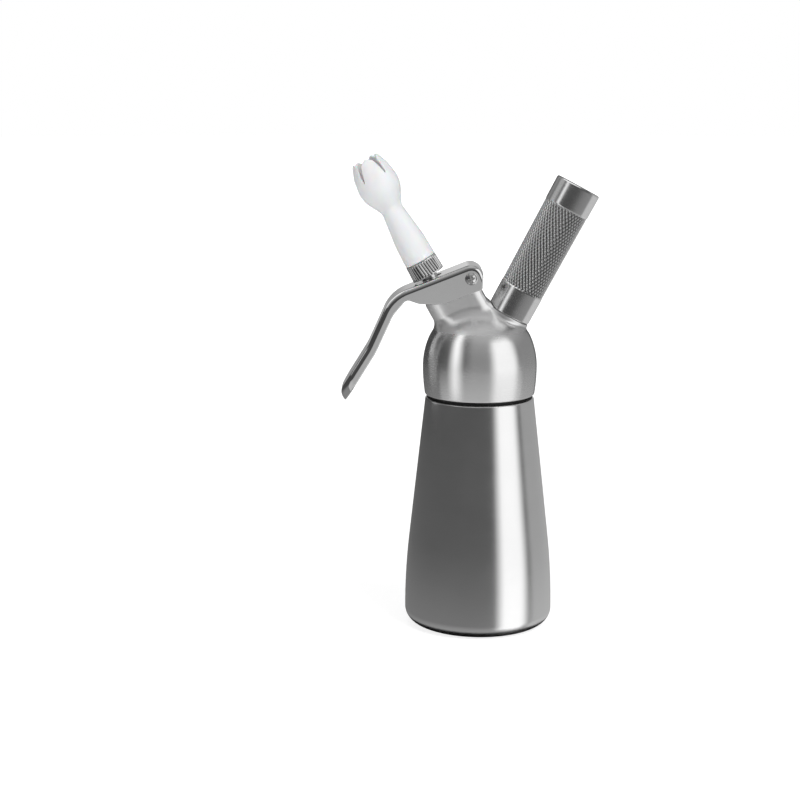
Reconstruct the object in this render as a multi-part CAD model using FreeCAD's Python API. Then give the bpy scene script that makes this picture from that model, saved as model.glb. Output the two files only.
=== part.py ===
import FreeCAD, Part
import math
import os

# Whipped cream dispenser, nominal quarter litre, charged by one standard 8 g gas charger.
# Millimetres. +Z is up, the origin is the centre of the foot ring, the nozzle and lever lean to -X
# and the charger holder leans to +X. Both branches of the head start from one point on the axis.

Vec = FreeCAD.Vector
Y_AXIS = Vec(0, 1, 0)
Z_AXIS = Vec(0, 0, 1)

# ------------------------------------------------------------------ general fits
SCREW_FIT = 0.08            # radial clearance of a screwed or sliding round fit
LOOSE_FIT = 0.30            # gap between faces that only pass each other
SEAT_FIT = 0.02             # clearance of rings and pieces that stay on their seat
BROKEN_EDGE = 0.8           # corner radii under this are made as small bevels

# ------------------------------------------------------------------ bottle
BOTTLE_R = 37.5             # belly, just above the foot
BOTTLE_WALL = 1.8
FOOT_CORNER_R = 7.0
FOOT_RING_W = 2.0           # flat ring that the bottle stands on
FOOT_HOLLOW = 2.6           # depth of the hollow under the floor
CONE_ANGLE = 6.41           # slope of the flank
BELLY_Z = 26.1              # height where belly and flank would meet unblended
BELLY_BLEND_R = 340.0
SHOULDER_Z = 115.5
SHOULDER_EDGE_R = 1.5
NECK_R = 23.6               # outside of the threaded neck
NECK_WALL = 2.6
NECK_H = 11.2
LAND_STEP = 2.6             # land between shoulder and thread, wider than the thread
LAND_H = 2.8

# ------------------------------------------------------------------ head: dome and skirt
HEAD_R = 28.65
HEAD_FOOT_R = 27.6          # radius at the lower edge of the skirt
HEAD_WIDEST_H = 13.8        # above the lower edge
HEAD_EDGE = 1.0             # chamfer of the lower edge
DOME_R = 37.0               # radius of the side arc above the widest place
RING_R = 23.6               # where the turned side ends and the cast crown begins
RING_H = 18.6               # above the widest place
CROWN_RISE = 9.8
CAVITY_R = 19.5
CAVITY_H = 14.5
CAVITY_CORNER_R = 9.0
GASKET_T = 2.0
GASKET_INNER_R = 20.8

# ------------------------------------------------------------------ head: the two branches
BRANCH_Z = 132.0            # where both branch axes meet the bottle axis
VALVE_TILT = 29.2
CHARGER_TILT = 28.0
NECK_LEFT = 9.2             # from the valve axis to the outer side of the valve neck
NECK_RIGHT = 19.6           # from the valve axis to the back of the lug
NECK_HALF_W = 10.2
NECK_RIM = 41.5             # along the valve axis, from the branch point
BRANCH_FILLET = 2.0
LUG_R = 4.2
LUG_CORNER_R = 3.0
BOSS_R = 11.1
BOSS_SEAT = 30.1            # along the charger axis, from the branch point
BOSS_RIM = 1.5              # height of the straight rim under the seat
BOSS_FLARE_R = 14.0         # radius of the sweep from the crown up to the rim
BOSS_FLARE_H = 9.0
STUD_R = 9.7
STUD_L = 13.9
SPOTFACE_R = 11.9

# ------------------------------------------------------------------ valve
SEAT = 17.5                 # sealing face, along the valve axis
POCKET_R = 8.2
STEM_R = 4.0
STEM_BORE_R = 1.9
STEM_WAIST_R = 3.0
STEM_WAIST_L = 6.5
STEM_NOSE_L = 2.0
FOOT_R = 7.0
FOOT_T = 2.5
CROSS_HOLE_R = 1.1
SEAL_T = 2.0
SEAL_R = 6.6
RING_WIRE_R = 0.55          # section of the stem's O-ring
RING_PLACE = 28.0
SPRING_SEAT = 31.5
SPRING_POCKET_R = 7.1
SPRING_WIRE_R = 0.6
SPRING_MEAN_R = 5.6
SPRING_TURNS = 4.5
WIRE_SIDES = 8              # the spring's wire is drawn eight-sided
SPRING_COLLAR_R = 7.0
SPRING_COLLAR_T = 3.2
CROWN_FLAT_R = 5.0          # the top of the spring collar slopes away outside this radius
CROWN_DROP = 0.45

# ------------------------------------------------------------------ lever
LEVER_SLOPE = 21.5          # of the plate at rest, rising towards the pivot
PIVOT_OUT = 17.9            # pivot, square to the valve axis
PIVOT_UP = 42.4             # pivot, along the valve axis
PLATE_TOP = 6.6             # top of the plate above the pivot axis
PLATE_T = 2.0
LEVER_HALF_W = 12.4
FLANGE_T = 1.8
TIP_CORNER_R = 9.0
BEND_FROM_PIVOT = 40.1
BEND_R = 20.0
HANDLE_ANGLE = 44.3         # of the handle below the plate
HANDLE_L = 28.1             # from the bend to the kink
KINK_R = 40.0
TIP_ANGLE = 36.7            # of the last stretch below the plate
TIP_L = 30.5
HANDLE_DEPTH = 5.0
FLANGE_DROP = 7.0           # lower edge of the flange below the pivot axis
NOSE_LIP = 0.6              # end of the curled nose above the pivot axis
EDGE_R = 2.4
SQUEEZE = 10.0              # travel of the lever, degrees
SLOT_FIT = 0.55

# ------------------------------------------------------------------ lever pivot
SLEEVE_R = 2.75
SCREW_R = 1.9
SCREW_HEAD_R = 3.1
SCREW_HEAD_H = 1.8
SLEEVE_HEAD_R = 4.0
SLEEVE_HEAD_H = 1.3
CROSS_W = 0.9
CROSS_L = 3.6
CROSS_DEPTH = 1.1

# ------------------------------------------------------------------ nozzle and its collar
COLLAR_R = 8.4
COLLAR_TOP_R = 8.15
COLLAR_L = 8.4
COLLAR_FLOOR = 2.4
COLLAR_GAP = 0.5            # to the plate, on the side where they are closest
FLUTES = 44
FLUTE_R = 0.32
NOZZLE_SPIGOT_R = 6.5
NOZZLE_WALL = 1.3
NOZZLE_L = 57.0             # visible length, above the collar
NOZZLE_SIDE = (             # outer radius, share of the visible length, radius of the bend there
    (8.1, 0.0, 0.0),
    (7.7, 0.2, 50.0),
    (5.4, 0.515, 7.0),
    (11.1, 0.70, 14.0),
    (9.6, 0.875, 12.0),
    (6.8, 1.0, 0.0),
)
PETALS = 5
SLIT_L = 10.0
SLIT_TOP_W = 2.4
SLIT_FOOT_W = 0.7
PETAL_ROUND = 2.2           # how far the corners of the petals' tips are cut away
SLIT_PHASE = -50.0          # turn of the first slit about the valve axis
WASHER_T = 1.0
STEM_IN_NOZZLE = 2.0

# ------------------------------------------------------------------ charger and its holder
CHARGER_R = 8.85
CHARGER_L = 65.5
CHARGER_WALL = 1.1
CHARGER_NECK_R = 4.4
CHARGER_NECK_L = 9.5
CHARGER_SHOULDER_L = 8.0
CHARGER_MOUTH_R = 2.2
CHARGER_MOUTH = 4.9         # mouth above the seat of the boss
CAP_T = 0.8
NEEDLE_R = 1.1
NEEDLE_BORE_R = 0.4
NEEDLE_REACH = 3.5          # beyond the mouth of the charger
PIN_R = 2.45
PIN_DEPTH = 8.0
PIN_FLANGE_R = 4.0
PIN_FLANGE_T = 1.2
PIN_SEAL_T = 0.8
PIN_SEAL_R = 4.4
HOLDER_FOOT_R = 11.1
HOLDER_TOP_R = 11.65
HOLDER_END_T = 1.7
HOLDER_BORE_R = 9.25
HOLDER_EDGE = 0.8
THREAD_RUN_OUT = 1.5
KNURL_FROM = 13.8
KNURL_TO_TOP = 12.3
KNURL_DEPTH = 0.2
END_PLAY = 0.3

# ------------------------------------------------------------------ gas inlet valve under the boss
GAS_POCKET_R = 5.0
GAS_POCKET = 21.0           # roof of the pocket, along the charger axis
GAS_NUT_L = 5.0
GAS_NUT_HEX = 8.0           # across the flats
GAS_SEAL_R = 3.0
GAS_SEAL_T = 1.6
GAS_BORE_R = 1.0

# ------------------------------------------------------------------ places worked out from the sizes
land_top = SHOULDER_Z + LAND_H
mouth_z = land_top + NECK_H
mouth_r = NECK_R - NECK_WALL
skirt_z = land_top + LOOSE_FIT
skirt_bore_r = NECK_R + SCREW_FIT
gasket_top = mouth_z + GASKET_T
widest_z = skirt_z + HEAD_WIDEST_H
tilt_of_plate = VALVE_TILT - LEVER_SLOPE
plate_under = PLATE_TOP - PLATE_T


def plate_height(offset, across):
    """Height along the valve axis of the plate's line `offset` above the pivot, `across` from the axis."""
    tilt = math.radians(tilt_of_plate)
    along = (across - PIVOT_OUT - offset * math.sin(tilt)) / math.cos(tilt)
    return PIVOT_UP - along * math.sin(tilt) + offset * math.cos(tilt)


crown_v = plate_height(plate_under, CROWN_FLAT_R) - LOOSE_FIT
spring_top = crown_v - SPRING_COLLAR_T
collar_v = plate_height(PLATE_TOP, -COLLAR_R) + COLLAR_GAP
collar_top = collar_v + COLLAR_L
washer_v = collar_v + COLLAR_FLOOR
nozzle_foot = washer_v + WASHER_T
stem_top = nozzle_foot + STEM_IN_NOZZLE
foot_v = SEAT - SEAL_T - FOOT_T
mouth_h = BOSS_SEAT + CHARGER_MOUTH
stud_top = BOSS_SEAT + STUD_L
pin_flange_h = mouth_h - PIN_SEAL_T - PIN_FLANGE_T
holder_foot = BOSS_SEAT + LOOSE_FIT
holder_end = mouth_h + CHARGER_L + END_PLAY
holder_top = holder_end + HOLDER_END_T


# ------------------------------------------------------------------ drawing helpers
def outline(start, *moves):
    """Closed face in the XZ plane. A move (x, z) is a straight edge, (x, z, radius) an arc to there.

    An arc bulges to the left of the way travelled if its radius is positive, else to the right.
    """
    edges = []
    here = Vec(start[0], 0, start[1])
    for move in moves + (start[:2],):
        there = Vec(move[0], 0, move[1])
        chord = there - here
        if len(move) > 2:
            radius = abs(move[2])
            rise = radius - math.sqrt(radius ** 2 - (chord.Length / 2) ** 2)
            left = Vec(-chord.z, 0, chord.x).normalize()
            middle = (here + there) * 0.5 + left * math.copysign(rise, move[2])
            edges.append(Part.Arc(here, middle, there).toShape())
        elif chord.Length > 1e-6:
            edges.append(Part.LineSegment(here, there).toShape())
        here = there
    return Part.Face(Part.Wire(edges))


def rounded_edges(*corners):
    """Closed line in the XZ plane, from its first corner, through (x, z) or (x, z, corner radius).

    A radius under BROKEN_EDGE only breaks the corner with a straight bevel.
    """
    ends = []
    for i, corner in enumerate(corners):
        here = Vec(corner[0], 0, corner[1])
        if len(corner) < 3:
            ends.append((here, None, here))
            continue
        back = corners[i - 1]
        on = corners[(i + 1) % len(corners)]
        to_back = (Vec(back[0], 0, back[1]) - here).normalize()
        to_on = (Vec(on[0], 0, on[1]) - here).normalize()
        half = to_back.getAngle(to_on) / 2
        reach = corner[2] / math.tan(half)
        if corner[2] < BROKEN_EDGE:
            ends.append((here + to_back * reach, None, here + to_on * reach))
            continue
        inward = (to_back + to_on).normalize()
        middle = here + inward * (corner[2] / math.sin(half) - corner[2])
        ends.append((here + to_back * reach, middle, here + to_on * reach))
    edges = []
    for i, (first, middle, last) in enumerate(ends):
        if middle is not None:
            edges.append(Part.Arc(first, middle, last).toShape())
        elif (last - first).Length > 1e-6:
            edges.append(Part.LineSegment(first, last).toShape())
        following = ends[(i + 1) % len(ends)][0]
        if (following - last).Length > 1e-6:
            edges.append(Part.LineSegment(last, following).toShape())
    return edges


def rounded(*corners):
    return Part.Face(Part.Wire(rounded_edges(*corners)))


def turned(face):
    return face.revolve(Vec(), Z_AXIS, 360)


def rolled(face, half_width):
    """The face in the XZ plane made into a plate, as far to each side of it."""
    return face.translated(Y_AXIS * -half_width).extrude(Y_AXIS * (2 * half_width))


def rod(radius, low, high):
    return Part.makeCylinder(radius, high - low, Vec(0, 0, low))


def tube(outer, inner, low, high):
    return rod(outer, low, high).cut(rod(inner, low, high))


def placed(shape, place, tilt):
    """Tilts the shape about Y and moves it to its place, after any move that it has already."""
    shape.Placement = FreeCAD.Placement(place, FreeCAD.Rotation(Y_AXIS, tilt)).multiply(shape.Placement)
    return shape


def on_valve_axis(shape):
    return placed(shape, Vec(0, 0, BRANCH_Z), -VALVE_TILT)


def on_charger_axis(shape):
    return placed(shape, Vec(0, 0, BRANCH_Z), CHARGER_TILT)


def at_pivot(shape):
    """Places a shape drawn about the lever's pivot, with X along the plate."""
    pivot = on_valve_axis(Part.Vertex(PIVOT_OUT, 0, PIVOT_UP)).Point
    return placed(shape, pivot, -LEVER_SLOPE)


# ------------------------------------------------------------------ bottle
def bottle():
    slope = math.tan(math.radians(CONE_ANGLE))
    flank = BOTTLE_WALL / math.cos(math.radians(CONE_ANGLE))
    land_r = NECK_R + LAND_STEP
    foot_r = BOTTLE_R - FOOT_CORNER_R
    floor_z = FOOT_HOLLOW + BOTTLE_WALL
    inner_shoulder_z = SHOULDER_Z - BOTTLE_WALL
    inner_shoulder_r = BOTTLE_R - flank - slope * (inner_shoulder_z - BELLY_Z)
    section = rounded(
        (0, FOOT_HOLLOW),
        (foot_r - FOOT_RING_W - FOOT_HOLLOW, FOOT_HOLLOW, FOOT_HOLLOW),
        (foot_r - FOOT_RING_W, 0, FOOT_RING_W / 4),
        (BOTTLE_R, 0, FOOT_CORNER_R),
        (BOTTLE_R, BELLY_Z, BELLY_BLEND_R),
        (BOTTLE_R - slope * (SHOULDER_Z - BELLY_Z), SHOULDER_Z, SHOULDER_EDGE_R),
        (land_r, SHOULDER_Z),
        (land_r, land_top, SHOULDER_EDGE_R / 5),
        (NECK_R, land_top),
        (NECK_R, mouth_z, SHOULDER_EDGE_R / 3),
        (mouth_r, mouth_z, SHOULDER_EDGE_R / 3),
        (mouth_r, land_top, NECK_WALL),
        (inner_shoulder_r, inner_shoulder_z, NECK_WALL),
        (BOTTLE_R - flank, BELLY_Z, BELLY_BLEND_R),
        (BOTTLE_R - flank, floor_z, FOOT_CORNER_R - BOTTLE_WALL),
        (0, floor_z),
    )
    return turned(section)


def head_gasket():
    return tube(NECK_R, GASKET_INNER_R, mouth_z, gasket_top)


# ------------------------------------------------------------------ head casting
def dome():
    lower_r = (HEAD_WIDEST_H ** 2 + (HEAD_R - HEAD_FOOT_R) ** 2) / (2 * (HEAD_R - HEAD_FOOT_R))
    ring_z = widest_z + RING_H
    crown_r = (RING_R ** 2 + CROWN_RISE ** 2) / (2 * CROWN_RISE)
    return turned(outline(
        (0, skirt_z),
        (HEAD_FOOT_R - HEAD_EDGE, skirt_z),
        (HEAD_FOOT_R, skirt_z + HEAD_EDGE),
        (HEAD_R, widest_z, -lower_r),
        (RING_R, ring_z, -DOME_R),
        (0, ring_z + CROWN_RISE, -crown_r),
    ))


def valve_neck():
    """The valve neck and the lug behind it that carries the lever, as one oval stump."""
    root = SEAT / 2
    lug_top = PIVOT_UP + LUG_R
    side = rounded(
        (-NECK_LEFT, root),
        (-NECK_LEFT, NECK_RIM, LUG_R / 5),
        (PIVOT_OUT - LUG_R, NECK_RIM, LUG_R / 3),
        (PIVOT_OUT - LUG_R, lug_top, LUG_R),
        (PIVOT_OUT + LUG_R, lug_top, LUG_R),
        (PIVOT_OUT + LUG_R, PIVOT_UP - LUG_R / 2, LUG_R),
        (NECK_RIGHT, PIVOT_UP - 2 * LUG_R, LUG_R),
        (NECK_RIGHT, root),
    )
    plan = rounded(
        (-NECK_LEFT, -NECK_HALF_W, NECK_HALF_W),
        (-NECK_LEFT, NECK_HALF_W, NECK_HALF_W),
        (PIVOT_OUT + LUG_R, NECK_HALF_W, LUG_CORNER_R),
        (PIVOT_OUT + LUG_R, -NECK_HALF_W, LUG_CORNER_R),
    )
    plan.Placement = FreeCAD.Placement(Vec(), FreeCAD.Rotation(Vec(1, 0, 0), -90))
    column = plan.extrude(Z_AXIS * (lug_top + 1))
    return on_valve_axis(rolled(side, NECK_HALF_W).common(column))


def charger_boss():
    """Stump under the charger holder, swept out towards the crown at its foot."""
    rim_low = BOSS_SEAT - BOSS_RIM
    flare_low = rim_low - BOSS_FLARE_H
    flare = BOSS_R + BOSS_FLARE_R - math.sqrt(BOSS_FLARE_R ** 2 - BOSS_FLARE_H ** 2)
    return on_charger_axis(turned(outline(
        (0, flare_low - BOSS_FLARE_H / 2),
        (flare, flare_low - BOSS_FLARE_H / 2),
        (flare, flare_low),
        (BOSS_R, rim_low, BOSS_FLARE_R),
        (BOSS_R, BOSS_SEAT),
        (0, BOSS_SEAT),
    )))


def blended(body, roots, radius):
    """Rounds the edges of body that lie on the given intersection curves."""
    chosen = []
    for edge in body.Edges:
        middle = edge.valueAt((edge.FirstParameter + edge.LastParameter) / 2)
        if edge.Length > radius and Part.Vertex(middle).distToShape(roots)[0] < 0.01:
            chosen.append(edge)
    return body.makeFillet(radius, chosen)


def head():
    crown = dome()
    neck = valve_neck()
    body = crown.fuse([neck, charger_boss()]).removeSplitter()
    body = blended(body, crown.section(neck), BRANCH_FILLET)
    body = body.cut(on_charger_axis(rod(SPOTFACE_R, BOSS_SEAT, stud_top + HOLDER_TOP_R)))
    stud = rod(STUD_R, BOSS_SEAT - LUG_R, stud_top)
    stud = stud.makeChamfer(HOLDER_EDGE, [stud.Edges[0]])
    body = body.fuse(on_charger_axis(stud))
    cavity = turned(rounded(
        (0, gasket_top),
        (CAVITY_R, gasket_top),
        (CAVITY_R, gasket_top + CAVITY_H, CAVITY_CORNER_R),
        (0, gasket_top + CAVITY_H),
    ))
    valve_bores = [
        on_valve_axis(rod(POCKET_R, 0, SEAT)),
        on_valve_axis(rod(STEM_R + SCREW_FIT, 0, NECK_RIM)),
        on_valve_axis(rod(SPRING_POCKET_R, SPRING_SEAT, PIVOT_UP + PLATE_TOP)),
    ]
    gas_bores = [
        on_charger_axis(rod(GAS_POCKET_R, 0, GAS_POCKET)),
        on_charger_axis(rod(GAS_BORE_R, 0, BOSS_SEAT)),
        on_charger_axis(rod(PIN_R + SEAT_FIT, pin_flange_h - PIN_DEPTH, mouth_h)),
        on_charger_axis(rod(CHARGER_NECK_R + LOOSE_FIT, pin_flange_h, stud_top)),
    ]
    pivot_bore = at_pivot(rolled_rod(SLEEVE_R + SCREW_FIT, -NECK_HALF_W - 1, NECK_HALF_W + 1))
    skirt_bore = rod(skirt_bore_r, skirt_z - 1, gasket_top)
    return body.cut([skirt_bore, cavity, pivot_bore] + valve_bores + gas_bores)


def rolled_rod(radius, low, high):
    """A rod along Y."""
    return Part.makeCylinder(radius, high - low, Vec(0, low, 0), Y_AXIS)


# ------------------------------------------------------------------ valve
def valve_stem():
    waist_top = SEAT + STEM_WAIST_L
    ring_half = RING_WIRE_R + SEAT_FIT
    groove_r = STEM_R - 2 * RING_WIRE_R
    body = turned(outline(
        (0, foot_v - STEM_NOSE_L),
        (STEM_WAIST_R, foot_v - STEM_NOSE_L),
        (STEM_R, foot_v),
        (FOOT_R, foot_v),
        (FOOT_R, foot_v + FOOT_T),
        (STEM_WAIST_R, foot_v + FOOT_T),
        (STEM_WAIST_R, waist_top),
        (STEM_R, waist_top + STEM_R - STEM_WAIST_R),
        (STEM_R, RING_PLACE - ring_half),
        (groove_r, RING_PLACE - ring_half),
        (groove_r, RING_PLACE + ring_half),
        (STEM_R, RING_PLACE + ring_half),
        (STEM_R, stem_top),
        (0, stem_top),
    ))
    hole_v = SEAT + STEM_WAIST_L / 2
    bore = rod(STEM_BORE_R, hole_v, stem_top)
    cross = rolled_rod(CROSS_HOLE_R, -STEM_R, STEM_R).translated(Z_AXIS * (hole_v + CROSS_HOLE_R))
    return on_valve_axis(body.cut([bore, cross]))


def valve_seal():
    return on_valve_axis(tube(SEAL_R, STEM_WAIST_R + SEAT_FIT, SEAT - SEAL_T, SEAT))


def stem_o_ring():
    mean_r = STEM_R - RING_WIRE_R
    return on_valve_axis(Part.makeTorus(mean_r, RING_WIRE_R, Vec(0, 0, RING_PLACE)))


def return_spring():
    low = SPRING_SEAT + SPRING_WIRE_R + SCREW_FIT
    rise = spring_top - SPRING_WIRE_R - SCREW_FIT - low
    path = Part.makeHelix(rise / SPRING_TURNS, rise, SPRING_MEAN_R)
    turns = [math.radians((i + 0.5) * 360 / WIRE_SIDES) for i in range(WIRE_SIDES + 1)]
    ring = [Vec(math.cos(turn), 0, math.sin(turn)) * SPRING_WIRE_R for turn in turns]
    section = Part.makePolygon([point + Vec(SPRING_MEAN_R, 0, 0) for point in ring])
    wire = Part.Wire(path).makePipeShell([section], True, True)
    return on_valve_axis(wire.translated(Z_AXIS * low))


def spring_collar():
    bore = STEM_R + SEAT_FIT
    return on_valve_axis(turned(outline(
        (bore, spring_top),
        (SPRING_COLLAR_R, spring_top),
        (SPRING_COLLAR_R, crown_v - CROWN_DROP),
        (CROWN_FLAT_R, crown_v),
        (bore, crown_v),
    )))


# ------------------------------------------------------------------ lever
def handle_points(depth):
    """Bend, kink and tip of the handle's line that lies `depth` under the outer surface."""
    plate = (-BEND_FROM_PIVOT, PLATE_TOP)
    steep = math.radians(HANDLE_ANGLE)
    flat = math.radians(TIP_ANGLE)
    kink = (plate[0] - HANDLE_L * math.cos(steep), plate[1] - HANDLE_L * math.sin(steep))
    tip = (kink[0] - TIP_L * math.cos(flat), kink[1] - TIP_L * math.sin(flat))
    turn = steep / 2
    bend = (plate[0] + depth * math.tan(turn), plate[1] - depth)
    mean = (steep + flat) / 2
    kink = (kink[0] + depth * math.sin(mean), kink[1] - depth * math.cos(mean))
    tip = (tip[0] + depth * math.sin(flat), tip[1] - depth * math.cos(flat))
    return bend, kink, tip


def lever_side():
    """Side view of the pressed lever, and the part of its line that runs over the top from nose to tip."""
    bend, kink, tip = handle_points(0)
    low_bend, low_kink, low_tip = handle_points(HANDLE_DEPTH)
    over = [
        (PLATE_TOP, PLATE_TOP, PLATE_TOP),
        (*bend, BEND_R),
        (*kink, KINK_R),
        (*tip, HANDLE_DEPTH * 0.7),
    ]
    line = rounded_edges(
        *over,
        low_tip,
        (*low_kink, KINK_R),
        (low_bend[0] - HANDLE_DEPTH, low_bend[1] - HANDLE_DEPTH, BEND_R - HANDLE_DEPTH),
        (low_bend[0] + PLATE_T, low_bend[1], PLATE_T),
        (low_bend[0] + HANDLE_DEPTH, low_bend[1] - HANDLE_DEPTH * 0.7, BEND_R / 2),
        (-BEND_FROM_PIVOT * 0.44, -FLANGE_DROP, BEND_R),
        (PLATE_TOP / 2, -FLANGE_DROP, EDGE_R / 2),
        (PLATE_TOP, 0),
    )
    return Part.Face(Part.Wire(line)), Part.Compound(line[:2 * len(over) - 1])


def lever_hollow():
    """Side view of the space inside the channel, open below and behind."""
    bend, kink, tip = handle_points(PLATE_T)
    below = tip[1] - HANDLE_L
    return rounded(
        (plate_under, plate_under, plate_under),
        (*bend, BEND_R - PLATE_T),
        (*kink, KINK_R),
        (tip[0] + FLANGE_T, tip[1] + FLANGE_T * 0.75),
        (tip[0] + FLANGE_T, below),
        (PLATE_TOP * 2, below),
        (PLATE_TOP * 2, NOSE_LIP),
        (plate_under, NOSE_LIP),
    )


def lever_plan(inset):
    """Column over the plan of the lever, its end rounded."""
    low_tip = handle_points(HANDLE_DEPTH)[2]
    wide = LEVER_HALF_W - inset
    face = rounded(
        (PLATE_TOP * 2, -wide),
        (low_tip[0] + inset, -wide, TIP_CORNER_R - inset),
        (low_tip[0] + inset, wide, TIP_CORNER_R - inset),
        (PLATE_TOP * 2, wide),
    )
    face.Placement = FreeCAD.Placement(Vec(), FreeCAD.Rotation(Vec(1, 0, 0), -90))
    deep = low_tip[1] - HANDLE_L
    return face.translated(Z_AXIS * deep).extrude(Z_AXIS * (PLATE_TOP * 2 - deep))


def lever():
    side, outer_line = lever_side()
    body = rolled(side, LEVER_HALF_W * 1.1).common(lever_plan(0))
    brims = []
    for edge in body.Edges:
        middle = edge.valueAt((edge.FirstParameter + edge.LastParameter) / 2)
        in_side_view = Part.Vertex(middle.x, 0, middle.z)
        if abs(middle.y) > EDGE_R and in_side_view.distToShape(outer_line)[0] < 0.01:
            brims.append(edge)
    body = body.makeFillet(EDGE_R, brims)
    hollow = rolled(lever_hollow(), LEVER_HALF_W * 1.1).common(lever_plan(FLANGE_T))
    return at_pivot(body.cut([hollow, stem_slot(), pivot_holes()]))


def stem_slot():
    """Slot in the plate that the stem stands in at every lever angle."""
    ends = []
    for angle in (tilt_of_plate, tilt_of_plate - SQUEEZE):
        tilt = math.radians(angle)
        ends.append(-(PIVOT_OUT + PLATE_TOP * math.sin(tilt)) / math.cos(tilt))
    radius = STEM_R + SLOT_FIT
    face = rounded(
        (min(ends) - radius, -radius, radius),
        (max(ends) + radius, -radius, radius),
        (max(ends) + radius, radius, radius),
        (min(ends) - radius, radius, radius),
    )
    face.Placement = FreeCAD.Placement(Vec(), FreeCAD.Rotation(Vec(1, 0, 0), -90))
    return face.extrude(Z_AXIS * (PLATE_TOP * 2))


def pivot_holes():
    near = rolled_rod(SCREW_R + SEAT_FIT, -LEVER_HALF_W - 1, 0)
    far = rolled_rod(SLEEVE_R + SEAT_FIT, 0, LEVER_HALF_W + 1)
    return Part.Compound([near, far])


def pivot_screw():
    """Cross-head screw from the near side, its shank running in the sleeve."""
    head_low = -LEVER_HALF_W - SCREW_HEAD_H
    shank = rolled_rod(SCREW_R, -LEVER_HALF_W, NECK_HALF_W)
    crown = SCREW_HEAD_H + (SCREW_HEAD_R ** 2 - SCREW_HEAD_H ** 2) / (2 * SCREW_HEAD_H)
    ball = Part.makeSphere(crown, Vec(0, head_low + crown, 0))
    cap = ball.common(rolled_rod(SCREW_HEAD_R, head_low - 1, -LEVER_HALF_W))
    slot = Part.makeBox(CROSS_L, CROSS_DEPTH + 1, CROSS_W, Vec(-CROSS_L / 2, head_low - 1, -CROSS_W / 2))
    slots = [slot, slot.rotated(Vec(), Y_AXIS, 90)]
    return at_pivot(cap.fuse(shank).removeSplitter().cut(slots))


def pivot_sleeve():
    """Barrel nut from the far side, the bearing of the lever in the lug."""
    low = -NECK_HALF_W
    barrel = rolled_rod(SLEEVE_R, low, LEVER_HALF_W)
    cap = rolled_rod(SLEEVE_HEAD_R, LEVER_HALF_W, LEVER_HALF_W + SLEEVE_HEAD_H)
    cap = cap.makeChamfer(SLEEVE_HEAD_H / 2, [cap.Edges[0]])
    return at_pivot(cap.fuse(barrel).cut(rolled_rod(SCREW_R + SEAT_FIT, low - 1, NECK_HALF_W + SEAT_FIT)))


# ------------------------------------------------------------------ nozzle
def nozzle_collar():
    chamber_r = NOZZLE_SPIGOT_R + SEAT_FIT
    bore = STEM_R + SEAT_FIT
    edge = FLUTE_R
    body = turned(outline(
        (bore, collar_v),
        (COLLAR_R - edge, collar_v),
        (COLLAR_R, collar_v + edge),
        (COLLAR_TOP_R, collar_top - edge),
        (COLLAR_TOP_R - edge, collar_top),
        (chamber_r, collar_top),
        (chamber_r, washer_v),
        (bore, washer_v),
    ))
    lean = math.degrees(math.atan2(COLLAR_R - COLLAR_TOP_R, COLLAR_L))
    flute = Part.makeCylinder(FLUTE_R, COLLAR_L * 2, Vec(0, 0, -COLLAR_L / 2), Z_AXIS, 360)
    flute = flute.rotated(Vec(), Y_AXIS, -lean).translated(Vec(COLLAR_R, 0, collar_v))
    cutters = [flute.rotated(Vec(), Z_AXIS, i * 360 / FLUTES) for i in range(FLUTES)]
    return on_valve_axis(body.cut(cutters))


def nozzle_washer():
    return on_valve_axis(tube(NOZZLE_SPIGOT_R, STEM_R + SEAT_FIT, washer_v, nozzle_foot))


def nozzle_side(inset):
    """Corners of the nozzle's side from the collar to the petal tips."""
    side = []
    for radius, share, bend in NOZZLE_SIDE:
        side.append((radius - inset, collar_top + share * NOZZLE_L, bend))
    return side


def nozzle():
    throat = STEM_R + SEAT_FIT
    inner = nozzle_side(NOZZLE_WALL)
    body = turned(rounded(
        (throat, nozzle_foot),
        (NOZZLE_SPIGOT_R, nozzle_foot),
        (NOZZLE_SPIGOT_R, collar_top),
        *nozzle_side(0),
        *reversed(inner),
        (throat, stem_top),
    ))
    tip = collar_top + NOZZLE_L
    reach = 2 * COLLAR_R
    wedge = rounded(
        (-SLIT_FOOT_W / 2, tip - SLIT_L, SLIT_FOOT_W / 2),
        (SLIT_FOOT_W / 2, tip - SLIT_L, SLIT_FOOT_W / 2),
        (SLIT_TOP_W / 2, tip - PETAL_ROUND, PETAL_ROUND),
        (SLIT_TOP_W / 2 + PETAL_ROUND, tip, 0),
        (SLIT_TOP_W / 2 + PETAL_ROUND, tip + 1),
        (-SLIT_TOP_W / 2 - PETAL_ROUND, tip + 1),
        (-SLIT_TOP_W / 2 - PETAL_ROUND, tip, 0),
        (-SLIT_TOP_W / 2, tip - PETAL_ROUND, PETAL_ROUND),
    )
    slit = wedge.extrude(Y_AXIS * reach).rotated(Vec(), Z_AXIS, SLIT_PHASE - 90)
    slits = [slit.rotated(Vec(), Z_AXIS, i * 360 / PETALS) for i in range(PETALS)]
    return on_valve_axis(body.cut(slits))


# ------------------------------------------------------------------ gas side
def piercing_pin():
    needle_tip = mouth_h + NEEDLE_REACH
    body = turned(outline(
        (NEEDLE_BORE_R, pin_flange_h - PIN_DEPTH),
        (PIN_R, pin_flange_h - PIN_DEPTH),
        (PIN_R, pin_flange_h),
        (PIN_FLANGE_R, pin_flange_h),
        (PIN_FLANGE_R, pin_flange_h + PIN_FLANGE_T),
        (NEEDLE_R, pin_flange_h + PIN_FLANGE_T),
        (NEEDLE_R, needle_tip - NEEDLE_R),
        (NEEDLE_BORE_R, needle_tip),
    ))
    return on_charger_axis(body)


def pin_seal():
    return on_charger_axis(tube(PIN_SEAL_R, NEEDLE_R + SEAT_FIT, mouth_h - PIN_SEAL_T, mouth_h))


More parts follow.
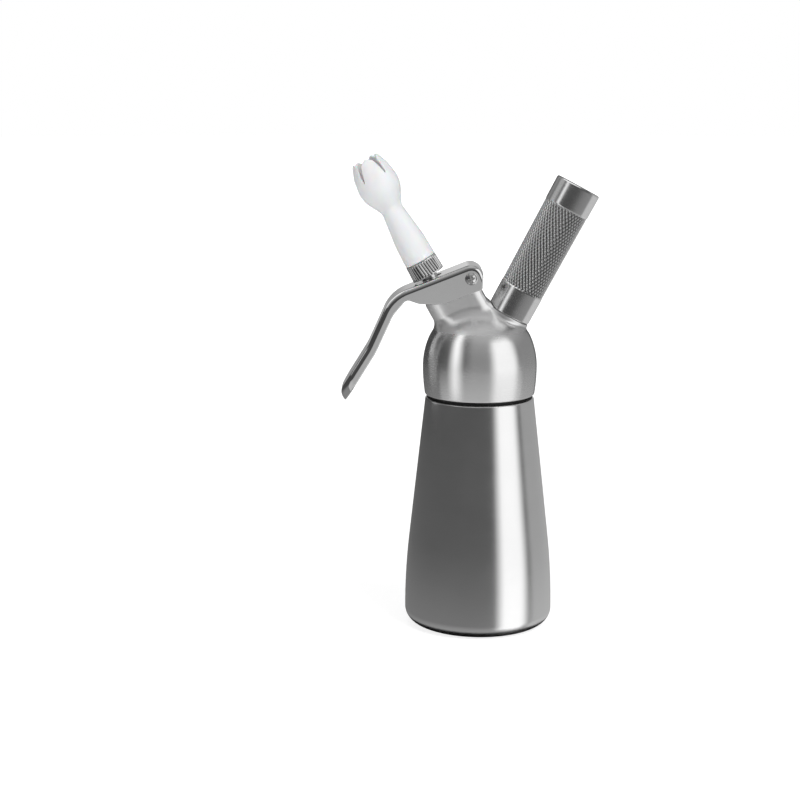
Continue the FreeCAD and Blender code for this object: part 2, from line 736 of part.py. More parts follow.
def gas_valve_nut():
    low = GAS_POCKET - GAS_SEAL_T - GAS_NUT_L
    shank = tube(GAS_POCKET_R - SEAT_FIT, GAS_BORE_R, low, GAS_POCKET - GAS_SEAL_T)
    corners = [Vec(math.cos(math.radians(a)), math.sin(math.radians(a)), 0) for a in range(0, 361, 60)]
    size = GAS_NUT_HEX / 2 / math.cos(math.radians(30))
    hexagon = Part.Face(Part.makePolygon([c * size + Z_AXIS * (low - GAS_SEAL_T) for c in corners]))
    nut = hexagon.extrude(Z_AXIS * GAS_SEAL_T).cut(rod(GAS_BORE_R, low - GAS_NUT_L, low + 1))
    return on_charger_axis(shank.fuse(nut).removeSplitter())


def gas_valve_seal():
    return on_charger_axis(rod(GAS_SEAL_R, GAS_POCKET - GAS_SEAL_T, GAS_POCKET))


def charger():
    shoulder = mouth_h + CHARGER_NECK_L + CHARGER_SHOULDER_L
    base = mouth_h + CHARGER_L
    wall = CHARGER_WALL
    blend = CHARGER_NECK_R
    body = turned(rounded(
        (CHARGER_MOUTH_R, mouth_h),
        (CHARGER_NECK_R, mouth_h),
        (CHARGER_NECK_R, mouth_h + CHARGER_NECK_L, blend),
        (CHARGER_R, shoulder, blend * 2),
        (CHARGER_R, base, CHARGER_R),
        (0, base),
        (0, base - wall),
        (CHARGER_R - wall, base - wall, (CHARGER_R - wall)),
        (CHARGER_R - wall, shoulder + wall / 2, blend * 2),
        (CHARGER_MOUTH_R, mouth_h + CHARGER_NECK_L - wall),
    ))
    return on_charger_axis(body)


def charger_cap():
    """Sealing disc in the charger's neck, already pierced."""
    low = mouth_h + CAP_T
    return on_charger_axis(tube(CHARGER_MOUTH_R - SEAT_FIT, NEEDLE_R + SCREW_FIT, low, low + CAP_T))


def charger_holder():
    growth = (HOLDER_TOP_R - HOLDER_FOOT_R) / (holder_top - holder_foot)
    knurl_low = holder_foot + KNURL_FROM
    knurl_high = holder_top - KNURL_TO_TOP
    low_r = HOLDER_FOOT_R + growth * KNURL_FROM
    high_r = HOLDER_TOP_R - growth * KNURL_TO_TOP
    thread_r = STUD_R + SCREW_FIT
    thread_top = stud_top + THREAD_RUN_OUT
    body = turned(rounded(
        (thread_r, holder_foot),
        (HOLDER_FOOT_R, holder_foot, HOLDER_EDGE / 4),
        (low_r, knurl_low),
        (low_r - KNURL_DEPTH, knurl_low + KNURL_DEPTH),
        (high_r - KNURL_DEPTH, knurl_high - KNURL_DEPTH),
        (high_r, knurl_high),
        (HOLDER_TOP_R, holder_top - HOLDER_EDGE),
        (HOLDER_TOP_R - HOLDER_EDGE, holder_top),
        (0, holder_top),
        (0, holder_end),
        (HOLDER_BORE_R, holder_end, CHARGER_R / 2),
        (HOLDER_BORE_R, thread_top),
        (thread_r, thread_top),
    ))
    return on_charger_axis(body)


PIECES = [
    bottle, head_gasket, head,
    valve_stem, valve_seal, stem_o_ring, return_spring, spring_collar,
    nozzle_collar, nozzle_washer, nozzle,
    lever, pivot_screw, pivot_sleeve,
    piercing_pin, pin_seal, gas_valve_nut, gas_valve_seal,
    charger, charger_cap, charger_holder,
]

os.makedirs("parts", exist_ok=True)
for piece in PIECES:
    shape = piece()
    print(piece.__name__, shape.isValid(), len(shape.Solids), round(shape.Volume, 1))
    shape.Solids[0].exportStep("parts/" + piece.__name__ + ".step")
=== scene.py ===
import math
import bpy
import numpy as np
from mathutils import Matrix, Vector


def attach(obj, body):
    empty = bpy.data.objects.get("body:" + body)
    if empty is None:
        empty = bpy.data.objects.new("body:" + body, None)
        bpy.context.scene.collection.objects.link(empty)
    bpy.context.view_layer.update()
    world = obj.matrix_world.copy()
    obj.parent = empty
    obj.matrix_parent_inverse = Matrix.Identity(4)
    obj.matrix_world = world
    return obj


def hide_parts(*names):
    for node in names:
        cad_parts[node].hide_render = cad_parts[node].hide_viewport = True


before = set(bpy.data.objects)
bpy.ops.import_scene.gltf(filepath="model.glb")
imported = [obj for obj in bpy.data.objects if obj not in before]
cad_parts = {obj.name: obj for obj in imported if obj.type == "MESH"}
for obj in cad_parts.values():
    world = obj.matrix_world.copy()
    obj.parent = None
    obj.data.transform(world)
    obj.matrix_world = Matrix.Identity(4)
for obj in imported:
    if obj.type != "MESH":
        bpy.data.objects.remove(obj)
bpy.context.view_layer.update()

# Sizes in millimetres, places in the part's own frame: +Z up, nozzle and lever to -X, charger to +X.
MM = 0.001
GRID = 0.42                     # cell of the meshed solids
LATHE_STEPS = 240

BRANCH_Z = 132.0
VALVE_TILT = 29.2
CHARGER_TILT = 28.0
LEVER_SLOPE = 21.5
PIVOT = (17.9, 42.4)            # across and along the valve axis

# ------------------------------------------------------------------ frames
def tilted(degrees, place):
    return Matrix.Translation(Vector(place) * MM) @ Matrix.Rotation(math.radians(degrees), 4, "Y")


UPRIGHT = Matrix.Identity(4)
VALVE = tilted(-VALVE_TILT, (0, 0, BRANCH_Z))
CHARGER = tilted(CHARGER_TILT, (0, 0, BRANCH_Z))


def in_tilted(x, z, degrees):
    """Across and along an axis that leaves the branch point, tilted from +Z towards +X."""
    tilt = math.radians(degrees)
    rise = z - BRANCH_Z
    return x * math.cos(tilt) - rise * math.sin(tilt), x * math.sin(tilt) + rise * math.cos(tilt)


pivot_world = VALVE @ (Vector((PIVOT[0], 0, PIVOT[1])) * MM)
LEVER = Matrix.Translation(pivot_world) @ Matrix.Rotation(math.radians(-LEVER_SLOPE), 4, "Y")


# ------------------------------------------------------------------ lines and arcs
def unit(vector):
    return vector / np.hypot(*vector)


def chain(*corners):
    """Lines and arcs through corners (x, z) or (x, z, radius), as a list of parts."""
    points = [np.array(corner[:2], float) for corner in corners]
    parts = []
    start = points[0]
    for i in range(1, len(points) - 1):
        here = points[i]
        radius = corners[i][2] if len(corners[i]) > 2 else 0.0
        end = here
        if radius > 0:
            back = unit(points[i - 1] - here)
            on = unit(points[i + 1] - here)
            half = math.acos(np.clip(back @ on, -1, 1)) / 2
            reach = radius / math.tan(half)
            centre = here + unit(back + on) * (radius / math.sin(half))
            end = here + back * reach
            after = here + on * reach
        if np.hypot(*(end - start)) > 1e-6:
            parts.append(("line", start, end))
        start = end
        if radius > 0:
            parts.append(("arc", centre, radius, end, after))
            start = after
    parts.append(("line", start, points[-1]))
    return parts


def drawn(parts, step=0.5, turn=6.0):
    """Points along the parts: arcs divided by angle, lines by length."""
    points = []
    for part in parts:
        if part[0] == "line":
            _, start, end = part
            count = max(1, int(np.hypot(*(end - start)) / step))
            points += [start + (end - start) * i / count for i in range(count)]
        else:
            _, centre, radius, start, end = part
            a = math.atan2(*(start - centre)[::-1])
            sweep = (math.atan2(*(end - centre)[::-1]) - a + math.pi) % (2 * math.pi) - math.pi
            count = max(2, int(abs(math.degrees(sweep)) / turn), int(abs(sweep) * radius / step / 2))
            for i in range(count):
                angle = a + sweep * i / count
                points.append(centre + radius * np.array((math.cos(angle), math.sin(angle))))
    points.append(parts[-1][2])
    return np.array(points)


def side_of(parts, x, z):
    """Signed distance from the line of parts, positive on the left of the way it runs."""
    x, z = np.broadcast_arrays(np.asarray(x, float), np.asarray(z, float))
    best = np.full(x.shape, 1e9)
    signed = np.zeros(x.shape)
    for i, part in enumerate(parts):
        if part[0] == "line":
            _, start, end = part
            along = unit(end - start)
            length = np.hypot(*(end - start))
            dx, dz = x - start[0], z - start[1]
            t = dx * along[0] + dz * along[1]
            across = along[0] * dz - along[1] * dx
            over = np.zeros(x.shape)
            if i > 0:
                over = np.maximum(over, -t)
            if i < len(parts) - 1:
                over = np.maximum(over, t - length)
            far = np.hypot(across, over) - 1e-7 * np.abs(across)
            value = np.where(across >= 0, 1, -1) * np.hypot(across, over)
        else:
            _, centre, radius, start, end = part
            dx, dz = x - centre[0], z - centre[1]
            s, e = (start - centre) / radius, (end - centre) / radius
            left_turn = s[0] * e[1] - s[1] * e[0] > 0
            middle = unit(s + e)
            reach = np.hypot(dx, dz)
            inside = dx * middle[0] + dz * middle[1] >= reach * (middle @ s)
            value = (radius - reach) if left_turn else (reach - radius)
            far = np.where(inside, np.abs(value), 1e9)
        nearer = far < best
        best = np.where(nearer, far, best)
        signed = np.where(nearer, value, signed)
    return signed


# ------------------------------------------------------------------ solids as distance fields
def smooth_max(a, b, width):
    """The larger of both, with the corner between them rounded."""
    near = np.maximum(width - np.abs(a - b), 0) / width
    return np.maximum(a, b) + near * near * width / 4


def rolled_edge(a, b, radius):
    """Inside both, the edge between them rounded with that radius."""
    both = np.hypot(np.maximum(a + radius, 0), np.maximum(b + radius, 0))
    return np.minimum(np.maximum(a, b) + radius, 0) + both - radius


def slab(value, low, high):
    return np.maximum(low - value, value - high)


def meshed(field, low, high, step):
    """Vertices, normals and quads of the surface where the field is zero."""
    axes = [np.arange(a, b + step, step) for a, b in zip(low, high)]
    grid = (axes[0][:, None, None], axes[1][None, :, None], axes[2][None, None, :])
    value = np.broadcast_to(field(*grid), [len(axis) for axis in axes])
    inside = value < 0
    cells = tuple(n - 1 for n in value.shape)
    corners = [(i, j, k) for i in (0, 1) for j in (0, 1) for k in (0, 1)]

    def at(array, corner):
        return array[tuple(slice(c, c + n) for c, n in zip(corner, cells))]

    count = sum(at(inside, corner).astype(np.int8) for corner in corners)
    where = np.nonzero((count > 0) & (count < 8))
    number = np.full(cells, -1)
    number[where] = np.arange(len(where[0]))
    values = {corner: at(value, corner)[where] for corner in corners}
    total = np.zeros((len(where[0]), 3))
    crossings = np.zeros(len(where[0]))
    for a in corners:
        for axis in range(3):
            if a[axis]:
                continue
            b = tuple(c + (i == axis) for i, c in enumerate(a))
            fa, fb = values[a], values[b]
            cut = (fa < 0) != (fb < 0)
            share = np.where(cut, fa / np.where(cut, fa - fb, 1), 0)
            point = np.tile(np.array(a, float), (len(fa), 1))
            point[:, axis] += share
            total[cut] += point[cut]
            crossings[cut] += 1
    start = np.array([axis[0] for axis in axes])
    vertices = start + (np.stack(where, 1) + total / crossings[:, None]) * step
    quads = []
    for axis in range(3):
        u, v = (axis + 1) % 3, (axis + 2) % 3
        low_side = [slice(None)] * 3
        low_side[axis] = slice(0, -1)
        high_side = list(low_side)
        high_side[axis] = slice(1, None)
        change = inside[tuple(low_side)] != inside[tuple(high_side)]
        spots = np.stack(np.nonzero(change), 1)
        spots = spots[(spots[:, u] > 0) & (spots[:, v] > 0)]
        spots = spots[(spots[:, u] < cells[u]) & (spots[:, v] < cells[v])]
        du, dv = np.eye(3, dtype=int)[u], np.eye(3, dtype=int)[v]
        ring = [number[tuple((spots - a * du - b * dv).T)] for a, b in ((1, 1), (0, 1), (0, 0), (1, 0))]
        quad = np.stack(ring, 1)
        leaving = inside[tuple(spots.T)]
        quad[~leaving] = quad[~leaving][:, ::-1]
        quads.append(quad)
    for _ in range(4):
        slope, height = gradient(field, vertices)
        steep = np.maximum((slope ** 2).sum(1), 0.2)
        move = slope * (height / steep)[:, None]
        length = np.linalg.norm(move, axis=1)
        move *= np.minimum(1, step * 0.5 / np.maximum(length, 1e-9))[:, None]
        vertices = vertices - move
    slope, _ = gradient(field, vertices)
    normals = slope / np.maximum(np.linalg.norm(slope, axis=1), 1e-9)[:, None]
    return vertices, normals, np.concatenate(quads)


def gradient(field, points, reach=0.004):
    height = field(*points.T)
    slope = np.zeros_like(points)
    for axis in range(3):
        shift = np.zeros(3)
        shift[axis] = reach
        slope[:, axis] = (field(*(points + shift).T) - field(*(points - shift).T)) / (2 * reach)
    return slope, height


# ------------------------------------------------------------------ pieces
def piece(name, vertices, faces, body, material, place=UPRIGHT, stands_for=(), normals=None, sharp=35):
    mesh = bpy.data.meshes.new(name)
    mesh.from_pydata((np.asarray(vertices) * MM).tolist(), [], [list(map(int, face)) for face in faces])
    mesh.validate()
    mesh.shade_smooth()
    if normals is None:
        mesh.set_sharp_from_angle(angle=math.radians(sharp))
    else:
        mesh.normals_split_custom_set_from_vertices(normals.tolist())
    mesh.materials.append(material)
    thing = bpy.data.objects.new(name, mesh)
    bpy.context.scene.collection.objects.link(thing)
    thing.matrix_world = place
    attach(thing, body)
    if stands_for:
        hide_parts(*stands_for)
    return thing


def solid(name, field, low, high, body, material, place=UPRIGHT, stands_for=(), step=GRID):
    vertices, normals, quads = meshed(field, low, high, step)
    turn = np.array(place.to_3x3())
    vertices = vertices @ turn.T + np.array(place.translation) / MM
    return piece(name, vertices, quads, body, material, UPRIGHT, stands_for, normals @ turn.T)


def lathe(name, profile, body, material, place=UPRIGHT, stands_for=(), steps=LATHE_STEPS, relief=None,
          sharp=35):
    """A closed profile of (radius, height) points, anticlockwise, turned about Z.
    relief(radius, height, turn) is added to the radius."""
    profile = np.asarray(profile)
    turn = np.arange(steps) * 2 * math.pi / steps
    radius = np.repeat(profile[:, :1], steps, 1)
    height = np.repeat(profile[:, 1:], steps, 1)
    if relief is not None:
        radius = radius + relief(radius, height, turn[None, :])
    vertices = np.stack([radius * np.cos(turn), radius * np.sin(turn), height], 2).reshape(-1, 3)
    rows = len(profile)
    i, j = np.meshgrid(np.arange(rows), np.arange(steps), indexing="ij")
    i2, j2 = (i + 1) % rows, (j + 1) % steps
    faces = np.stack([i * steps + j, i * steps + j2, i2 * steps + j2, i2 * steps + j], 2).reshape(-1, 4)
    on_axis = (radius.max(1) < 1e-6)
    keep = ~(on_axis[i.ravel()] & on_axis[i2.ravel()])
    faces = faces[keep]
    first = np.where(on_axis[np.arange(rows)], np.arange(rows) * steps, -1)
    owner = np.arange(rows * steps)
    for row in np.nonzero(on_axis)[0]:
        owner[row * steps:(row + 1) * steps] = first[row]
    used, inverse = np.unique(owner[faces], return_inverse=True)
    faces = inverse.reshape(faces.shape)
    clean = [list(dict.fromkeys(face)) for face in faces.tolist()]
    return piece(name, vertices[used], clean, body, material, place, stands_for, sharp=sharp)


# ------------------------------------------------------------------ materials
class Nodes:
    """A material, or the world, being wired up."""

    def __init__(self, owner):
        owner.use_nodes = True
        self.tree = owner.node_tree
        self.tree.nodes.clear()

    def add(self, kind, settings=None, **inputs):
        node = self.tree.nodes.new("ShaderNode" + kind)
        for key, value in (settings or {}).items():
            setattr(node, key, value)
        for key, value in inputs.items():
            self.feed(node, key, value)
        return node

    def feed(self, node, key, value):
        key = key.replace("_", " ")
        socket = node.inputs[int(key[5:])] if key.startswith("input") else node.inputs[key]
        if isinstance(value, bpy.types.NodeSocket):
            self.tree.links.new(value, socket)
        else:
            socket.default_value = value

    def math(self, operation, *values, clamp=False):
        settings = {"operation": operation, "use_clamp": clamp}
        return self.add("Math", settings, **{f"input{i}": v for i, v in enumerate(values)}).outputs[0]

    def spread(self, value, low, high, to_low, to_high):
        made = self.add("MapRange", None, Value=value, From_Min=low, From_Max=high, To_Min=to_low,
                        To_Max=to_high)
        return made.outputs[0]

    def noise(self, place, scale, detail=3.0, roughness=0.5):
        made = self.add("TexNoise", None, Vector=place, Scale=scale, Detail=detail, Roughness=roughness)
        return made.outputs[0]

    def scaled(self, place, size):
        return self.add("Mapping", None, Vector=place, Scale=size).outputs[0]

    def ramp(self, value, *stops):
        node = self.add("ValToRGB", None, Fac=value)
        elements = node.color_ramp.elements
        for i, (place, colour) in enumerate(stops):
            element = elements[i] if i < 2 else elements.new(place)
            element.position = place
            element.color = (*colour, 1)
        return node.outputs[0]


BUMP_SIZE = 0.00002             # metres
CREVICE_SHADE = 0.11                  # painted shade: grey at the bottom of a knurl or flute


def finish_of(name, colours, roughness, metallic=1.0, grain=(1, 1, 1), grain_scale=400, bump=0.0,
              anisotropic=0.0, radial=False, specks=0.0, wear=0.0, crevice_shade=None, **sockets):
    """Colour between two tones, roughness between two values, and a fine bump, all by the same grain.
    The painted shade in grooves is given as (radius at height 0, taper, depth) of a cone, in metres: down to
    it the colour turns dark."""
    owner = bpy.data.materials.new(name)
    nodes = Nodes(owner)
    place = nodes.add("TexCoord").outputs["Object"]
    streaks = nodes.noise(nodes.scaled(place, grain), grain_scale, 4.0, 0.6)
    clouds = nodes.noise(place, 45.0, 3.0)
    mixed = nodes.math("MULTIPLY_ADD", clouds, 0.5, nodes.math("MULTIPLY", streaks, 0.5))
    colour = nodes.ramp(mixed, (0.32, colours[0]), (0.68, colours[1]))
    rough = nodes.spread(mixed, 0.35, 0.65, *roughness)
    height = streaks
    # Painted shade: down into a groove the colour turns dark grey.
    if crevice_shade:
        low, taper, depth = crevice_shade
        part = nodes.add("SeparateXYZ", None, Vector=place).outputs
        radius = nodes.math("SQRT", nodes.math("MULTIPLY_ADD", part["X"], part["X"],
                                               nodes.math("MULTIPLY", part["Y"], part["Y"])))
        ground = nodes.math("MULTIPLY_ADD", part["Z"], taper, low)
        above = nodes.math("SUBTRACT", radius, ground)
        unshaded_share = nodes.math("MAXIMUM", nodes.spread(above, 0.0, depth, 0.0, 1.0),
                                nodes.spread(above, -0.0006, -0.0004, 1.0, 0.0))
        colour = nodes.add("Mix", {"data_type": "RGBA"}, input0=unshaded_share, input6=(*grey(CREVICE_SHADE), 1),
                           input7=colour).outputs[2]
    if specks:
        fine = nodes.noise(place, 2500.0, 2.0)
        height = nodes.math("MULTIPLY_ADD", fine, specks, streaks)
        rough = nodes.math("MULTIPLY_ADD", fine, specks * 0.1, rough)
    if wear:
        scratch = nodes.noise(nodes.scaled(place, (2.0, 2.0, 0.25)), 900.0, 1.0)
        thin = nodes.spread(scratch, 0.66, 0.72, 0.0, wear)
        rough = nodes.math("ADD", rough, thin)
    shader = nodes.add("BsdfPrincipled", None, Base_Color=colour, Roughness=rough, Metallic=metallic)
    for key, value in sockets.items():
        nodes.feed(shader, key, value)
    if bump:
        raised = nodes.add("Bump", None, Strength=bump, Distance=BUMP_SIZE, Height=height)
        nodes.feed(shader, "Normal", raised.outputs[0])
    if anisotropic:
        shader.inputs["Anisotropic"].default_value = anisotropic
        shader.inputs["Anisotropic Rotation"].default_value = 0.25
    if radial:
        tangent = nodes.add("Tangent", {"direction_type": "RADIAL", "axis": "Z"})
        nodes.feed(shader, "Tangent", tangent.outputs[0])
    output = nodes.add("OutputMaterial")
    nodes.tree.links.new(shader.outputs[0], output.inputs[0])
    return owner


def grey(value, warm=0.0):
    return (value * (1 + warm), value, value * (1 - warm))


AROUND = (1, 1, 60)             # grain of a turned surface: thin lines round the axis
brushed = finish_of("brushed_aluminium", (grey(0.86), grey(0.92)), (0.23, 0.27), grain=AROUND,
                    grain_scale=110, bump=0.12, anisotropic=0.78, radial=True)
satin = finish_of("satin_aluminium", (grey(0.84), grey(0.92)), (0.24, 0.28), grain=AROUND, grain_scale=110,
                  bump=0.12, anisotropic=0.78, radial=True)
cast = finish_of("polished_casting", (grey(0.84), grey(0.92)), (0.30, 0.38), grain=(1, 1, 2), grain_scale=220,
                 bump=0.06)
# The knurl's grooves get painted shade, darker with their depth.
knurled = finish_of("knurled_aluminium", (grey(0.82), grey(0.90)), (0.20, 0.26), grain=AROUND, grain_scale=60,
                    bump=0.25, anisotropic=0.5, radial=True, crevice_shade=(0.010345, 0.00768, 0.0002))
chrome = finish_of("polished_steel", (grey(0.80), grey(0.84)), (0.03, 0.06), grain_scale=80,
                   bump=0.02, wear=0.02)
# The collar's flutes get painted shade, darker with their depth.
chromed_brass = finish_of("plated_collar", (grey(0.82), grey(0.90)), (0.12, 0.18), grain=AROUND,
                          grain_scale=50, bump=0.1, crevice_shade=(0.00955, -0.0298, 0.00035))
steel = finish_of("turned_steel", (grey(0.66), grey(0.74)), (0.16, 0.26), grain=AROUND, grain_scale=80,
                  bump=0.3, anisotropic=0.4, radial=True)
screw_steel = finish_of("screw_steel", (grey(0.62), grey(0.72)), (0.14, 0.24), grain_scale=300, bump=0.1,
                        specks=0.4)
spring_steel = finish_of("spring_steel", (grey(0.50), grey(0.60)), (0.25, 0.34), grain_scale=300, bump=0.1)
brass = finish_of("brass", ((0.70, 0.50, 0.22), (0.80, 0.60, 0.30)), (0.2, 0.3), grain=AROUND, grain_scale=60,
                  bump=0.2)
zinc = finish_of("zinc_plate", (grey(0.52), grey(0.66)), (0.26, 0.4), grain_scale=160, bump=0.2, specks=0.6)
white_plastic = finish_of("white_plastic", ((0.80, 0.81, 0.82), (0.84, 0.85, 0.86)), (0.28, 0.36),
                          metallic=0.0, grain_scale=150, bump=0.08, specks=0.6, Subsurface_Weight=0.25,
                          Subsurface_Scale=0.002)
silicone = finish_of("grey_silicone", (grey(0.30), grey(0.36)), (0.45, 0.6), metallic=0.0, grain_scale=200,
                     bump=0.2, specks=1.0)
rubber = finish_of("black_rubber", (grey(0.025), grey(0.04)), (0.5, 0.65), metallic=0.0, grain_scale=250,
                   bump=0.2, specks=1.0)
nylon = finish_of("natural_nylon", (grey(0.62), grey(0.70)), (0.4, 0.5), metallic=0.0, grain_scale=200,
                  bump=0.15, specks=0.8)
# Near-black material for the groove under the head's skirt: painted shade.
groove_painted_shade = finish_of("groove_painted_shade", (grey(0.02), grey(0.035)), (0.5, 0.6), metallic=0.0, grain=AROUND,
                         grain_scale=60, bump=0.1)
foil = finish_of("sealing_disc", (grey(0.70), grey(0.80)), (0.2, 0.35), grain_scale=500, bump=0.3)

ON_NODES = {
    "head_gasket": silicone, "valve_stem": steel, "valve_seal": rubber, "stem_o_ring": rubber,
    "return_spring": spring_steel, "spring_collar": steel, "nozzle_washer": silicone,
    "pivot_screw": screw_steel, "pivot_sleeve": screw_steel, "piercing_pin": brass, "pin_seal": nylon,
    "gas_valve_nut": brass, "gas_valve_seal": rubber, "charger": zinc, "charger_cap": foil,
    "bottle": brushed, "head": satin, "lever": chrome, "nozzle_collar": chromed_brass,
    "nozzle": white_plastic, "charger_holder": knurled,
}
for node_name, finish in ON_NODES.items():
    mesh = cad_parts[node_name].data
    mesh.materials.clear()
    mesh.materials.append(finish)


# ------------------------------------------------------------------ bottle
THREAD_PITCH = 3.0
THREAD_FROM, THREAD_TO = 119.6, 128.6
THREAD_DEPTH = 0.85
THREAD_RUN_OUT = 0.8
NECK_R = 23.6
GROOVE_RADII = (23.7, 26.6)     # what shows under the head's skirt, coloured near-black as painted shade
GROOVE_HEIGHTS = (116.4, 118.2)


def bottle_profile():
    foot = [(0, 2.6), (25.9, 2.6, 2.6), (28.5, 0.0, 0.5), (37.5, 0.0, 7.0), (37.5, 26.1, 340.0)]
    top = [(27.34, 116.6, 0.9), (24.7, 116.6), (24.7, 118.3, 0.3), (23.6, 118.3), (23.6, 129.5, 0.7)]
    inside = [(21.0, 129.5, 0.7), (21.0, 118.3, 2.6), (25.9, 113.7, 2.6), (35.69, 26.1, 340.0),
              (35.69, 4.4, 5.2), (0, 4.4)]
    return drawn(chain(*foot, *top, *inside), step=0.35, turn=5.0)


def neck_thread(radius, height, turn):
    """The single-start thread, cut into the neck; nothing is added outside it."""
    phase = (height / THREAD_PITCH - turn / (2 * math.pi)) % 1.0
    wave = np.clip(np.abs(phase - 0.5) * 4 - 0.6, 0, 1)
    run = (np.clip((height - THREAD_FROM) / THREAD_RUN_OUT, 0, 1)
           * np.clip((THREAD_TO - height) / THREAD_RUN_OUT, 0, 1))
    return np.where(np.abs(radius - NECK_R) < 0.3, -THREAD_DEPTH * wave * run, 0.0)


bottle_shell = lathe("bottle_shell", bottle_profile(), "bottle", brushed, stands_for=["bottle"],
                     relief=neck_thread)
# The faces in the groove under the skirt take the near-black painted shade.
bottle_shell.data.materials.append(groove_painted_shade)
for face in bottle_shell.data.polygons:
    middle = face.center / MM
    in_shaded_groove = (GROOVE_RADII[0] < middle.xy.length < GROOVE_RADII[1]
                 and GROOVE_HEIGHTS[0] < middle.z < GROOVE_HEIGHTS[1])
    face.material_index = int(in_shaded_groove)


# ------------------------------------------------------------------ head
DOME_R, DOME_Z = 28.65, 132.4   # the widest place
DOME_LOW_ARC, DOME_HIGH_ARC = 91.2, 37.0
SKIRT_Z = 118.3
CROWN_Z, CROWN_ARC = 160.8, 33.3
NECK_LEFT, NECK_RIGHT, NECK_HALF = -9.3, 22.1, 10.2
NECK_FROM = 8.75                # along the valve axis
BOSS_R, BOSS_TOP = 11.1, 30.1   # the boss and the stud, round and along the charger axis
FLARE_ARC, FLARE_R, FLARE_H = 14.0, 25.1, 28.6
SPOTFACE_R = 11.9
STUD_R, STUD_TOP = 9.7, 44.0
STUD_PITCH = 2.0
STUD_THREAD_FROM, STUD_THREAD_TO = 31.5, 43.2
STUD_THREAD_DEPTH = 0.75
STEM_BORE_R = 4.08              # bores along the valve axis
SPRING_POCKET_R, SPRING_POCKET_FROM = 7.1, 31.5
FOOT_POCKET_R, FOOT_POCKET_TO = 8.2, 17.5
GAS_POCKET_R, GAS_POCKET_TO = 5.0, 21.0         # bores along the charger axis
GAS_HOLE_R = 1.0
PIN_BORE_R, PIN_BORE_FROM = 2.47, 25.0
STUD_BORE_R, STUD_BORE_FROM = 4.7, 33.0
PIVOT_BORE_R = 2.83
GASKET_BORE_R, GASKET_BORE_TO = 23.68, 131.5    # where the bottle's neck and gasket sit
TURNED_TO = 151.2               # the turning stops here; above it the casting is only polished


def dome_side(r, z):
    """Distance outside the turned side: a long arc up to the widest place, a short one above it."""
    low = np.hypot(r - (DOME_R - DOME_LOW_ARC), z - DOME_Z) - DOME_LOW_ARC
    high = np.hypot(r - (DOME_R - DOME_HIGH_ARC), z - DOME_Z) - DOME_HIGH_ARC
    return np.where(z < DOME_Z, low, high)


def stadium(u, y, left, right, half, corner):
    """Plan of the valve neck: round on the left, with corners of the given radius on the right."""
    round_end = np.hypot(u - (left + half), y) - half
    return np.where(u < left + half, round_end, rolled_edge(np.abs(y) - half, u - right, corner))


NECK_SIDE = chain((19.6, NECK_FROM), (19.6, 34.0, 4.2), (NECK_RIGHT, 40.3, 4.2), (NECK_RIGHT, 46.6, 4.2),
                  (13.7, 46.6, 4.2), (13.7, 41.5, 1.4), (NECK_LEFT, 41.5, 2.2), (NECK_LEFT, NECK_FROM))
CAVITY = chain((19.5, 120.0), (19.5, 146.0, 9.0), (0, 146.0))


def neck_form(u, y, v):
    """The oval neck that carries the valve and the lever's lug."""
    plan = stadium(u, y, NECK_LEFT, NECK_RIGHT, NECK_HALF, 8.0)
    neck = rolled_edge(plan, -side_of(NECK_SIDE, u, v), 1.5)
    return np.maximum(neck, NECK_FROM - v)


def boss_form(reach, h):
    """The round charger boss, which flares out into the crown."""
    sweep = FLARE_ARC - np.hypot(reach - FLARE_R, np.maximum(h, 19.6) - FLARE_H)
    flare = np.where((h < FLARE_H) & (reach < 25.0), sweep, reach - BOSS_R)
    return np.maximum(rolled_edge(flare, h - BOSS_TOP, 0.4), 15.1 - h)


def stud_form(a, y, h):
    """The threaded stud that the charger's holder screws on."""
    reach = np.hypot(a, y)
    turn = np.arctan2(y, a)
    wave = np.abs((h / STUD_PITCH - turn / (2 * math.pi)) % 1.0 - 0.5) * 2
    run = np.clip(h - STUD_THREAD_FROM, 0, 1) * np.clip(STUD_THREAD_TO - h, 0, 1)
    cut = STUD_THREAD_DEPTH * np.clip(wave * 1.6 - 0.4, 0, 1) * run
    return np.maximum(rolled_edge(reach - STUD_R + cut, h - STUD_TOP, 0.8), 26.0 - h)


def valve_bores(off, v):
    """Stem bore, spring pocket and foot pocket, by the distance off the valve axis and the place along it."""
    spring_pocket = np.maximum(off - SPRING_POCKET_R, SPRING_POCKET_FROM - v)
    foot_pocket = np.maximum(off - FOOT_POCKET_R, v - FOOT_POCKET_TO)
    through = np.maximum(off - STEM_BORE_R, -v)
    return np.minimum(np.minimum(spring_pocket, foot_pocket), through)


def charger_bores(reach, h):
    """Gas pocket and hole, and the piercing pin's bore in the stud."""
    pocket = np.maximum(reach - GAS_POCKET_R, h - GAS_POCKET_TO)
    gas = np.minimum(pocket, np.maximum(reach - GAS_HOLE_R, h - BOSS_TOP))
    pin = np.maximum(reach - PIN_BORE_R, PIN_BORE_FROM - h)
    socket = np.maximum(reach - STUD_BORE_R, STUD_BORE_FROM - h)
    return np.minimum(np.maximum(gas, -h), np.minimum(pin, socket))


